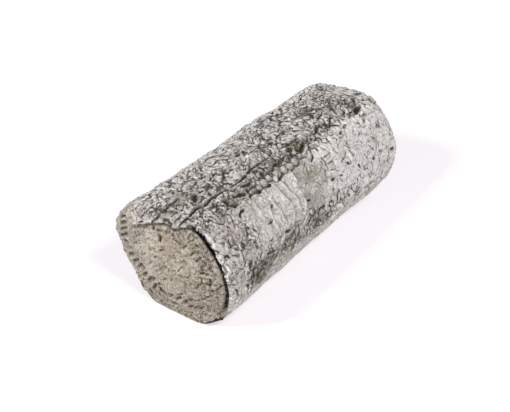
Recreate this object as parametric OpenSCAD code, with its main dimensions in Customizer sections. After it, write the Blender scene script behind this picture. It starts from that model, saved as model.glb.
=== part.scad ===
// Ash-coated goat cheese log, lying on its side.
//
// The log is one solid of soft cheese. It runs along X, with its bare cheese end at -X, and
// its own weight has slumped it onto a flat strip at z = 0. The origin is on that strip, under
// the middle of the log.
//
// A place on the skin is given by its station, the distance in mm behind the bare end, and by
// its angle round the log: 0 points to +Y, 90 is the top and 180 is the -Y side.

/* [Log] */
// Length of the log from end to end
log_len = 124; // [96:1:170]
// Mean radius of the log at its middle
log_r = 24.3; // [18:0.1:32]
// How far the log's axis has slumped towards the table
slump = 4.3; // [1:0.1:6]
// How much wider the bare end is than the far end
taper_w = 4.8; // [0:0.1:9]
// Bulge that squeezes the round section into an oval
oval_bulge = 1.1; // [0:0.1:2.5]
// Angle that the long side of the oval points to
oval_angle = 31; // [0:1:180]
// Bulge that gives the section three soft corners
three_bulge = 1.06; // [0:0.02:2]
// Angle of the first of the three
three_angle = 25; // [0:1:120]
// Bulge that gives the section four soft corners
four_bulge = 0.86; // [0:0.02:2]
// Angle of the first of the four
four_angle = 18; // [0:1:90]

/* [Bare end] */
// Radius of the rim where the skin turns onto the bare end
rim_r = 3.0; // [2:0.1:6]
// How far the middle of the bare end stands out past its edge
face_bulge = 1.4; // [0.6:0.1:3]
// Thickness of the loose lip of skin round part of the bare end
lip_t = 1.0; // [0.6:0.1:1.6]
// Width of the gap between that lip and the cheese
gap_w = 1.3; // [0.6:0.1:2]
// Depth of the gap
gap_d = 2.6; // [1:0.1:4]
// Angle at which the lip and its gap start
gap_from = 108; // [90:1:130]
// Angle at which they end
gap_to = 208; // [180:1:225]
// Angle over which the lip melts into the plain rim
gap_fade = 9; // [6:1:15]

/* [Far end] */
// Length over which the far end rounds off
tail_len = 12.5; // [8:0.5:20]
// How far in from the side the rounding reaches
tail_in = 12; // [8:0.5:16]
// How far the middle of the far end stands out past its edge
tail_bulge = 1.2; // [0.4:0.1:3]

/* [Creases] */
// Angle of the long crease along the top of the log
crease_angle = 104; // [96:1:112]
// Distance that the long crease runs back from the bare end
crease_len = 66; // [30:1:90]
// Depth of the long crease
crease_d = 1.3; // [0.4:0.1:2]
// Half width of either crease
crease_w = 0.9; // [0.7:0.1:1.5]
// Sideways wander of either crease, in degrees
crease_wander = 1.2; // [0:0.1:3]
// Angle of the short crease beside it
nick_angle = 80; // [70:1:86]
// Distance that the short crease runs back from the bare end
nick_len = 11; // [6:1:20]
// Depth of the short crease
nick_d = 1.5; // [0.4:0.1:2]

/* [Finger ridges] */
// Height of the ridges across the -Y side
ridge_h = 0.45; // [0:0.05:1]
// Distance from one ridge to the next
ridge_pitch = 5.6; // [5:0.1:9]
// Station where the ridges start
ridge_from = 21; // [12:1:30]
// Station of the step where the ridges end and the skin drops
step_at = 53; // [40:1:70]
// Height of that step
step_h = 0.8; // [0:0.1:1.5]
// How far each ridge leans back from its top to its foot
ridge_lean = 5; // [0:0.5:10]

/* [Lumps and pits] */
// Height of the low lumps all over the skin
lump_h = 0.35; // [0:0.05:0.8]
// Height of the knobs along the shoulder above the ridges
knob_h = 0.6; // [0:0.1:1]
// Distance from one knob to the next
knob_pitch = 6.4; // [5:0.1:10]
// Depth of the pits
pit_d = 1.6; // [0:0.1:2.5]
// Half width of a pit
pit_w = 2.2; // [1.8:0.1:3]
// Distance of the front pit behind the bare end
front_pit_at = 15; // [10:1:24]
// Distance of the back pit from the far end
back_pit_at = 21; // [18:1:30]

/* [Hidden] */

// spacing of the mesh: columns round the skin and under the log, rings along it
SKIN_STEP = 5.2;
UNDER_STEP = 16;
SKIN_FROM = -66;
SKIN_TO = 246;
RING_STEP = 2.7;
FACE_RINGS = 4;
RIM_RINGS = 7;
TAIL_RINGS = 7;
END_RINGS = 2;
// share by which, and angle within which, the columns gather at a crease
GATHER = 0.62;
GATHER_REACH = 8;
// angles of the pits, of the row of knobs and of the ridges' top and foot
FRONT_PIT_ANGLE = 91;
BACK_PIT_ANGLE = 118;
KNOB_ANGLE = 121;
RIDGE_TOP = 126;
RIDGE_FOOT = 164;
// sideways place of the log's axis, which centres its uneven outline over the origin
AXIS_Y = -0.7;
// room under the table that is cut away to leave the flat strip
CUT_ROOM = 20;

axis_z = log_r - slump;
side_from = face_bulge + rim_r;
side_to = log_len - tail_bulge - tail_len;
side_rings = ceil((side_to - side_from) / RING_STEP);

function ease(lo, hi, v) = let (t = max(0, min(1, (v - lo) / (hi - lo)))) t * t * (3 - 2 * t);
function window(lo, hi, soft, v) = ease(lo - soft, lo + soft, v) * (1 - ease(hi - soft, hi + soft, v));
function hump(v, w) = exp(-pow(v / w, 2));
function arc(a, a0) = (a - a0) * PI / 180 * log_r;

// radius of the log's section at an angle, and its growth towards the bare end
function section_r(a) = log_r + oval_bulge * cos(2 * (a - oval_angle))
    + three_bulge * cos(3 * (a - three_angle)) + four_bulge * cos(4 * (a - four_angle));
function swell(s) = 1 + taper_w / (2 * log_r) * (0.5 - s / log_len);

// what stands out from that section, or is sunk into it, at a station and an angle
function crease(s, a, a0, depth, length) =
    -depth * hump(arc(a, a0 - crease_wander * sin(6 * s)), crease_w) * (1 - ease(length * 0.55, length, s));
function pit(s, a, s0, a0) = -pit_d * hump(s - s0, pit_w) * hump(arc(a, a0), pit_w);
function ridges(s, a) = let (lean = ridge_lean * ease(RIDGE_TOP, RIDGE_FOOT, a))
    ridge_h * cos(360 * (s - lean - ridge_from) / ridge_pitch)
    * window(ridge_from, step_at, 2, s - lean / 2) * window(RIDGE_TOP, RIDGE_FOOT, 6, a);
function step(s, a) = step_h * ease(ridge_from, step_at - 12, s)
    * (1 - ease(step_at - 1, step_at + 1.5, s)) * window(RIDGE_TOP, RIDGE_FOOT, 6, a);
function knobs(s, a) = knob_h * pow(cos(180 * (s - ridge_from) / knob_pitch), 2)
    * hump(arc(a, KNOB_ANGLE), 2.2) * window(ridge_from + 8, step_at + 34, 4, s);
function lumps(s, a) = lump_h * (0.5 * sin(3.1 * s + 2 * a + 40) + 0.5 * sin(5.3 * s - 3 * a + 200)
    + 0.4 * sin(8.7 * s + 5 * a) + 0.3 * sin(11.9 * s - 4 * a + 90));
function relief(s, a) = lumps(s, a)
    + crease(s, a, crease_angle, crease_d, crease_len)
    + crease(s, a, nick_angle, nick_d, nick_len)
    + ridges(s, a) + step(s, a) + knobs(s, a)
    + pit(s, a, front_pit_at, FRONT_PIT_ANGLE)
    + pit(s, a, log_len - back_pit_at, BACK_PIT_ANGLE);
function skin_r(s, a) = (section_r(a) + relief(s, a)) * swell(s);

// a point at radius r, and one sunk below the skin by "inset"
function at_radius(s, a, r) = [s - log_len / 2, AXIS_Y + r * cos(a), axis_z * swell(s) + r * sin(a)];
function sunk(s, a, inset) = at_radius(s, a, skin_r(s, a) - inset);

// rim of the bare end as [inset, station] of each ring: the plain one, and the lip with its gap
function plain_rim(k) = let (t = 90 * k / RIM_RINGS)
    [rim_r * (1 - cos(t)), face_bulge + rim_r * (1 - sin(t))];
LIP_RIM = [
    [0, face_bulge + rim_r],
    [0, face_bulge + lip_t],
    [lip_t * 0.3, face_bulge * 0.7],
    [lip_t * 0.8, face_bulge * 0.7],
    [lip_t, face_bulge + gap_d],
    [lip_t + gap_w * 0.8, face_bulge + gap_d],
    [lip_t + gap_w, face_bulge + 0.9],
    [lip_t + gap_w + 1, face_bulge],
];
function rim(k, a) = let (lipped = window(gap_from, gap_to, gap_fade, a))
    plain_rim(k) + lipped * (LIP_RIM[k] - plain_rim(k));
function rim_point(k, a) = let (p = rim(k, a)) sunk(p[1], a, p[0]);

// the bare end inside its rim, domed by face_bulge: f runs from 0 in the middle to 1 at the rim
function face_point(f, a) = let (p = rim(RIM_RINGS, a), edge_r = skin_r(p[1], a) - p[0])
    at_radius(p[1] * f * f, a, edge_r * f);

// the rounded far end, and the dome inside it
function tail_point(t, a) = sunk(side_to + tail_len * sin(t), a, tail_in * (1 - cos(t)));
function end_point(f, a) = let (edge_r = skin_r(log_len - tail_bulge, a) - tail_in)
    at_radius(log_len - tail_bulge * f * f, a, edge_r * f);

// columns gather at the two creases, so that each shows as a narrow groove
function pull(a, a0) = GATHER * (a - a0) * hump(a - a0, GATHER_REACH);
skin_angles = [for (a = [SKIN_FROM : SKIN_STEP : SKIN_TO]) a - pull(a, crease_angle) - pull(a, nick_angle)];
under_angles = [for (a = [SKIN_TO + UNDER_STEP / 2 : UNDER_STEP : 360 + SKIN_FROM - 1]) a];
angles = concat(skin_angles, under_angles);

// rings from the middle of the bare end, over its rim, along the side and round the far end
rings = concat(
    [for (k = [1 : FACE_RINGS]) [for (a = angles) face_point(k / (FACE_RINGS + 1), a)]],
    [for (k = [RIM_RINGS : -1 : 0]) [for (a = angles) rim_point(k, a)]],
    [for (k = [1 : side_rings]) let (s = side_from + (side_to - side_from) * k / side_rings)
        [for (a = angles) sunk(s, a, 0)]],
    [for (k = [1 : TAIL_RINGS]) [for (a = angles) tail_point(90 * k / TAIL_RINGS, a)]],
    [for (k = [END_RINGS : -1 : 1]) [for (a = angles) end_point(k / (END_RINGS + 1), a)]]
);

count = len(angles);
last_ring = len(rings) - 1;
points = concat([at_radius(0, 0, 0)], [for (ring = rings) each ring], [at_radius(log_len, 0, 0)]);
function index(ring, column) = 1 + ring * count + column % count;
faces = concat(
    [for (i = [0 : count - 1]) [0, index(0, i), index(0, i + 1)]],
    [for (k = [0 : last_ring - 1]) for (i = [0 : count - 1]) each [
        [index(k, i), index(k + 1, i), index(k + 1, i + 1)],
        [index(k, i), index(k + 1, i + 1), index(k, i + 1)]]],
    [for (i = [0 : count - 1]) [index(last_ring, i + 1), index(last_ring, i), len(points) - 1]]
);

module cheese_log() {
    color("#b7b0a8")
        difference() {
            polyhedron(points, faces);
            translate([-log_len, -2 * log_r, -CUT_ROOM])
                cube([2 * log_len, 4 * log_r, CUT_ROOM]);
        }
}

cheese_log();
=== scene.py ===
# %% [markdown]
# # A small ash-coated goat cheese log
#
# The real log is one piece of soft goat cheese. It was rolled in vegetable ash and left to ripen,
# so a grey rind with a pale bloom of mould grew over it and shrank into worm-like wrinkles. One
# end is bare cheese, and the rind stands off it like a loose sleeve.
#
# The construction is a plain solid of the right size, which comes packed as a fixed frame. This
# lesson grows a far finer skin in the same place: first its smooth form, then its relief, then
# what the relief tells about colour, and last the finish, the light and the camera.

# %% Load the frame
import math

import bpy
import numpy as np
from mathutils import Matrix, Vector


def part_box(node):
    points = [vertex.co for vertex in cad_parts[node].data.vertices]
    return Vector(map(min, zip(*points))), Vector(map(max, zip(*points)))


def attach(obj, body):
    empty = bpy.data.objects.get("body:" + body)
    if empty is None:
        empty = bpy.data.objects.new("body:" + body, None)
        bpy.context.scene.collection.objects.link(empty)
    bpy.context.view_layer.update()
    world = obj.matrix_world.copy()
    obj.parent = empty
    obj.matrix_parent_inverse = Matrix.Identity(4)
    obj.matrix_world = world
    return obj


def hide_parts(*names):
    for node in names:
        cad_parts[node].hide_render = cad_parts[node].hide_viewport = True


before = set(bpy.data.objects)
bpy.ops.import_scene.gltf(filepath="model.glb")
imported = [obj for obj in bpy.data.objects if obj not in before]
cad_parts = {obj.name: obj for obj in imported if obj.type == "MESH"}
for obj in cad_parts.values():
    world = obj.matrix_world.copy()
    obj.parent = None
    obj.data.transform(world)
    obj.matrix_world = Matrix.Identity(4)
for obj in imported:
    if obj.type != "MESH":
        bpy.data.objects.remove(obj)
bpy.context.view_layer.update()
low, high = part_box("cheese_log")
print("log, mm:", [round(1000 * (b - a), 1) for a, b in zip(low, high)])

# %% [markdown]
# ## Camera
#
# The camera comes first, because every later choice is judged through it. It looks down on the
# log from in front of its bare end with a long lens, which keeps the log's edges near parallel
# and its proportions true.

# %% Camera
VIEW_AZIMUTH = -53.4
VIEW_ELEVATION = 35.82
VIEW_DISTANCE = 0.5698
VIEW_LENS = 104.72
VIEW_TARGET = Vector((-0.01092, -0.0007, 0.01937))


def away(azimuth, elevation):
    """The direction from the log towards something at that azimuth and elevation, in degrees."""
    a, e = math.radians(azimuth), math.radians(elevation)
    return Vector((math.sin(a) * math.cos(e), -math.cos(a) * math.cos(e), math.sin(e)))


camera_data = bpy.data.cameras.new("camera")
camera_data.lens = VIEW_LENS
camera = bpy.data.objects.new("camera", camera_data)
camera.location = VIEW_TARGET + VIEW_DISTANCE * away(VIEW_AZIMUTH, VIEW_ELEVATION)
camera.rotation_euler = (VIEW_TARGET - camera.location).to_track_quat("-Z", "Y").to_euler()
bpy.context.collection.objects.link(camera)
bpy.context.scene.camera = camera
print("camera at", [round(v, 3) for v in camera.location])

# %% [markdown]
# ## The smooth form
#
# A place on the skin is given as in the construction: a station, in mm behind the bare end, and
# an angle round the log, where 0 points to +Y, 90 is the top and 180 is the -Y side. A lathe
# would make too perfect a log. The section here is a circle with three soft bulges added, which
# is how a soft cylinder squashes, and it grows a little towards the bare end.

# %% Form of the log, in mm
LENGTH = 1000 * (high[0] - low[0])
RADIUS = 24.3
AXIS_Y = -0.7
AXIS_Z = 20.0
TAPER = 4.8
BULGES = ((2, 1.1, 31), (3, 1.06, 25), (4, 0.86, 18))   # corners, height, angle of the first


def ease(start, stop, v):
    """A smooth step from 0 at start to 1 at stop."""
    t = np.clip((v - start) / (stop - start), 0, 1)
    return t * t * (3 - 2 * t)


def window(start, stop, soft, v):
    """1 between start and stop, and 0 outside, with soft edges."""
    return ease(start - soft, start + soft, v) * (1 - ease(stop - soft, stop + soft, v))


def hump(v, width):
    return np.exp(-(v / width) ** 2)


def spread(values):
    """The least and the greatest value, to print."""
    return f"{values.min():.2f} to {values.max():.2f}"


def section_radius(angle):
    return RADIUS + sum(h * np.cos(np.radians(n * (angle - first))) for n, h, first in BULGES)


def arc(angle):
    """How far round the skin an angle is, in mm."""
    return np.radians(angle) * RADIUS


def swell(station):
    return 1 + TAPER / (2 * RADIUS) * (0.5 - station / LENGTH)


print(f"radius at the top: {section_radius(90):.2f} mm")

# %% [markdown]
# ## Columns and rings
#
# The skin is a grid of columns round the log and rings along it. A subdivided primitive would
# spend as many faces under the log as on top of it. Here the columns stand close where the
# wrinkles show and far apart on the flat strip that the log lies on. Towards the middle of each
# end, where columns would crowd, every second one stops.

# %% Columns
COLUMN_STRETCHES = (      # from angle, to angle, mm between columns
    (-66, 8, 0.68),
    (8, 218, 0.43),
    (218, 246, 0.60),
    (246, 294, 0.95),
)
HALVINGS = 3


def spread_columns():
    angles = []
    for start, stop, gap in COLUMN_STRETCHES:
        count = round(arc(stop - start) / gap)
        angles += list(np.linspace(start, stop, count, endpoint=False))
    spare = len(angles) % 2 ** HALVINGS
    return np.array(angles[:len(angles) - spare])


angles = spread_columns()
print(len(angles), "columns")

# %% [markdown]
# ## The rim of the bare end
#
# Round part of the bare end the rind is a loose lip, about a millimetre thick, with a dark gap
# between it and the cheese. Elsewhere the rind simply rolls over onto the cheese. Both are paths
# from the side of the log to its end, and each column follows a blend of the two, so that the
# lip melts into the plain rim without a seam.

# %% Paths over the rim
RIM_RADIUS = 3.0
RIM_END = 4.5             # how far in from the side the rim's paths end
FACE_DOME = 1.4
LIP = 1.0
LIP_EDGE = 1.6            # station of the lip's edge
GAP_DEPTH = 2.8
GAP_WIDTH = 1.3
RIM_STEPS = 28
TURN_STEPS = 24
GAP_STRENGTH = (          # angle, how much of the lip and gap there is
    (100, 0.0), (107, 0.18), (113, 0.35), (118, 0.85), (123, 1.15), (139, 1.1), (147, 0.7),
    (156, 0.5), (172, 0.42), (196, 0.36), (206, 0.2), (214, 0.0),
)


def rounded(points, times=3):
    """Cuts the corners of a path, so that it turns in curves."""
    path = np.array(points, float)
    for _ in range(times):
        a, b = path[:-1], path[1:]
        cut = np.stack([0.75 * a + 0.25 * b, 0.25 * a + 0.75 * b], 1).reshape(-1, path.shape[1])
        path = np.concatenate([path[:1], cut, path[-1:]])
    return path


def along(path, count):
    """The path again, as points at even distances."""
    step = np.linalg.norm(np.diff(path, axis=0), axis=1)
    distance = np.concatenate([[0], np.cumsum(step)])
    at = np.linspace(0, distance[-1], count)
    return np.stack([np.interp(at, distance, path[:, i]) for i in range(path.shape[1])], 1)


def plain_rim():
    """A quarter turn from the side onto the end, as (distance in from the side, station)."""
    turn = np.linspace(0, math.pi / 2, TURN_STEPS)
    inset = RIM_RADIUS * (1 - np.cos(turn))
    path = np.stack([inset, FACE_DOME + RIM_RADIUS * (1 - np.sin(turn))], 1)
    return along(np.concatenate([path, [[RIM_END, FACE_DOME]]]), RIM_STEPS)


def lipped_rim():
    """The same over the lip's edge, down into the gap and up onto the cheese."""
    inner = LIP + GAP_WIDTH
    return along(rounded([
        (0, FACE_DOME + RIM_RADIUS),
        (0, LIP_EDGE + 0.6),
        (LIP * 0.10, LIP_EDGE),
        (LIP * 0.80, LIP_EDGE),
        (LIP, LIP_EDGE + 0.7),
        (LIP, FACE_DOME + GAP_DEPTH),
        (inner, FACE_DOME + GAP_DEPTH),
        (inner, FACE_DOME + 0.4),
        (inner + 0.3, FACE_DOME),
        (RIM_END, FACE_DOME),
    ]), RIM_STEPS)


gap_strength = np.interp(angles % 360, *zip(*GAP_STRENGTH))
rim_paths = (plain_rim()[:, None, :] * (1 - gap_strength[None, :, None])
             + lipped_rim()[:, None, :] * gap_strength[None, :, None])
print("rim:", RIM_STEPS, f"rings, gap up to {gap_strength.max() * GAP_WIDTH:.2f} mm wide")

# %% [markdown]
# ## The rings
#
# Each ring is a station and a radius for every column. They start in the middle of the bare end,
# cross its rim, run along the side, turn the rounded far end and close in its middle. Each also
# notes which part of the log it is on, since the parts are carved and coloured differently.

# %% Rings from end to end
RING_GAP = 0.465
TAIL_LENGTH, TAIL_REACH, TAIL_DOME = 12.5, 12.0, 1.2
TAIL_STEPS, TAIL_END_STEPS = 24, 12
FACE_STEPS = 42
ON_FACE, ON_SIDE, ON_TAIL = 0.0, 2.0, 3.0      # the rim runs from 0 at the cheese to 1 at the side
side_start = FACE_DOME + RIM_RADIUS
side_stop = LENGTH - TAIL_DOME - TAIL_LENGTH
full_radius = section_radius(angles)


def level_at(share):
    """How many times the columns halve at a share of the way from the middle to the edge."""
    return int(np.clip(math.floor(-math.log2(max(share, 0.01) / 1.02)), 0, HALVINGS))


def make_rings():
    """Lists (halvings, station, radius, part of the log) from one pole to the other."""
    rings = []
    edge_station, edge_inset = rim_paths[-1, :, 1], rim_paths[-1, :, 0]
    edge_radius = full_radius * swell(edge_station) - edge_inset
    for share in np.linspace(0, 1, FACE_STEPS + 1)[1:-1]:
        rings.append((level_at(share), edge_station * share ** 2, edge_radius * share, ON_FACE))
    for k in range(RIM_STEPS - 1, -1, -1):
        inset, station = rim_paths[k, :, 0], rim_paths[k, :, 1]
        rings.append((0, station, full_radius * swell(station) - inset, 1 - k / (RIM_STEPS - 1)))
    count = round((side_stop - side_start) / RING_GAP)
    for station in np.linspace(side_start, side_stop, count + 1)[1:]:
        rings.append((0, station, full_radius * swell(station), ON_SIDE))
    for turn in np.linspace(0, math.pi / 2, TAIL_STEPS + 1)[1:]:
        station = side_stop + TAIL_LENGTH * math.sin(turn)
        radius = full_radius * swell(station) - TAIL_REACH * (1 - math.cos(turn))
        rings.append((0, station, radius, ON_TAIL))
    for share in np.linspace(1, 0, TAIL_END_STEPS + 1)[1:-1]:
        radius = (full_radius * swell(LENGTH) - TAIL_REACH) * share
        rings.append((level_at(share), LENGTH - TAIL_DOME * share ** 2, radius, ON_TAIL))
    return rings


rings = make_rings()
print(len(rings), "rings")

# %% [markdown]
# ## Joining the rings
#
# Two rings with as many columns are joined by four-sided faces. Where a ring has half as many,
# each of its columns takes a triangle and a four-sided face of the fuller ring, so the skin
# stays closed. The poles close with triangles.

# %% Faces between the rings
def ring_faces(first, second, start, next_start):
    """Faces between a ring and the next, as point numbers, in an order that faces outwards."""
    if first == second:
        i = np.arange(first)
        j = (i + 1) % first
        return [(start + a, start + b, next_start + b, next_start + a) for a, b in zip(i, j)]
    if first > second:       # the same faces seen from the other ring, so turned over
        mirrored = ring_faces(second, first, next_start, start)
        return [face[:1] + face[:0:-1] for face in mirrored]
    faces = []
    for a in range(first):
        b, c, d, e = (a + 1) % first, 2 * a, 2 * a + 1, (2 * a + 2) % second
        faces.append((start + a, next_start + d, next_start + c))
        faces.append((start + a, start + b, next_start + e, next_start + d))
    return faces


def join_rings():
    counts = [len(angles) // 2 ** level for level, *_ in rings]
    starts = 1 + np.concatenate([[0], np.cumsum(counts)])
    last = int(starts[-1])
    faces = [(0, 1 + (i + 1) % counts[0], 1 + i) for i in range(counts[0])]
    for k in range(len(rings) - 1):
        faces += ring_faces(counts[k], counts[k + 1], int(starts[k]), int(starts[k + 1]))
    end = int(starts[-2])
    faces += [(end + i, end + (i + 1) % counts[-1], last) for i in range(counts[-1])]
    return faces


faces = join_rings()
print(len(faces), "faces,", sum(len(f) - 2 for f in faces), "triangles")

# %% [markdown]
# ## Points of the smooth skin
#
# The poles are added at both ends, and every point keeps its station, its angle and the part of
# the log that it belongs to, since the relief is worked out from those.

# %% Points
def flatten(values):
    """One long array from a value per ring and column, with a value for each pole."""
    parts = [np.broadcast_to(v, len(angles))[::2 ** level] for level, v in values]
    return np.concatenate([[0.0], *parts, [0.0]])


station = flatten([(level, s) for level, s, _, _ in rings])
radius = flatten([(level, r) for level, _, r, _ in rings])
angle = flatten([(level, angles) for level, *_ in rings])
part = flatten([(level, p) for level, _, _, p in rings])
station[-1], part[-1] = LENGTH, ON_TAIL
turn = np.radians(angle)
smooth = np.stack([
    station - LENGTH / 2,
    AXIS_Y + radius * np.cos(turn),
    AXIS_Z * swell(station) + radius * np.sin(turn),
], 1)
smooth[:, 2] = np.maximum(smooth[:, 2], 0)

skin_mesh = bpy.data.meshes.new("log_skin")
skin_mesh.from_pydata((smooth / 1000).tolist(), [], faces)
skin_mesh.update()


def point_normals():
    flat = np.empty(len(smooth) * 3, np.float32)
    skin_mesh.vertices.foreach_get("normal", flat)
    return flat.reshape(-1, 3).astype(float)


normals = point_normals()
print(len(smooth), "points, box", (smooth.max(0) - smooth.min(0)).round(1))

# %% [markdown]
# ## Fields to carve with
#
# Wrinkles need a pattern that has one size but no order. A sum of many waves with nearly the
# same wavelength and random directions gives that: where it crosses zero, it draws winding
# lines, which become the furrows between pebble-like wrinkles. The waves fill space, so the
# pattern has no seam round the log. A displacement texture could look alike, but here the same
# numbers also tell the finish where the furrows are.

# %% Random waves
def waves(points, wavelength, seed, count=40, spread=0.22):
    """A smooth random field with a spread of about 1 and features of about one size."""
    draw = np.random.default_rng(seed)
    way = draw.normal(size=(count, 3))
    way /= np.linalg.norm(way, axis=1, keepdims=True)
    stretch = 1 + spread * draw.normal(size=(count, 1))
    phase = draw.uniform(0, 2 * math.pi, count)
    total = np.zeros(len(points))
    for k, p in zip(way * stretch * 2 * math.pi / wavelength, phase):
        total += np.cos(points @ k + p)
    return total * math.sqrt(2 / count)


wobble = np.stack([waves(smooth, 7.0, seed) for seed in (11, 12, 13)], 1)
bent = smooth + 0.6 * wobble
print("waves spread:", f"{waves(smooth, 3.0, 1).std():.2f}")

# %% [markdown]
# ## Zones of the rind
#
# The rind isn't the same all over. The top is dark and deeply wrinkled. The near side starts
# speckled at the bare end, then carries a patch of smooth finger-like folds, then a greyer band,
# and then a pale granular stretch to the far end. Low down it roughens again. Each zone is a
# field from 0 to 1 with a soft, ragged edge.

# %% Zones
on_rind = ease(0.0, 0.6, part)
ragged = 1.0 * waves(smooth, 11.0, 21) + 0.5 * waves(smooth, 4.0, 22)
wrapped = np.where(angle > 250, angle - 360, angle)        # unbroken over the far side
top = (1 - ease(117, 123, wrapped + 1.3 * ragged)) * ease(25, 50, wrapped + 3 * ragged)
fingers = window(23, 52.5, 2.0, station + 0.6 * ragged) * window(125, 166, 4, angle + 1.2 * ragged)
speckled = (1 - ease(19, 24, station + ragged)) * window(106, 168, 8, angle)
band = window(53, 69, 2.0, station) * window(125, 172, 6, angle)
grainy = ease(66, 74, station + ragged) * window(118, 192, 6, angle)
low_side = window(167, 190, 4, angle + 1.2 * ragged) * window(14, 92, 6, station)
under = ease(190, 199, angle + 1.2 * ragged) * (1 - ease(330, 345, angle))
print("share of top:", f"{top.mean():.2f}", "fingers:", f"{fingers.mean():.2f}")

# %% [markdown]
# ## Wrinkles
#
# The rind keeps growing after the cheese under it has begun to shrink, so it buckles. Furrows
# follow the zero lines of the waves, and the wrinkles between them are rounded. Three sizes are
# laid over each other, and the zones say how strongly.

# %% Wrinkles
fold_a, fold_b, fold_c = waves(bent, 6.0, 31), waves(bent, 3.9, 32), waves(bent, 2.3, 33)
fine = waves(smooth, 1.25, 34)
wrinkles = (0.62 * np.tanh(1.7 * np.abs(fold_a)) + 0.60 * np.tanh(1.7 * np.abs(fold_b))
            + 0.30 * np.tanh(1.7 * np.abs(fold_c))
            - 0.65 * hump(fold_a, 0.5) * hump(fold_b, 0.5) - 1.0)
rough = np.clip(0.36 + 0.64 * top + 0.30 * speckled + 0.04 * grainy - 0.28 * fingers
                - 0.10 * band + 0.34 * low_side - 0.2 * under, 0, 1)
rough = np.clip(rough * (1 + 0.20 * waves(smooth, 9.0, 35)), 0, 1.3)
print("wrinkles from", spread(wrinkles), "mm")

# %% [markdown]
# ## Grooves
#
# These marks make this log itself: the long crease where the top meets the near side, the short
# one beside it, the slits and the deep pits. Each is a path of stations and angles with a width
# and a depth, as if drawn on the skin with a modelling tool.

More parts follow.
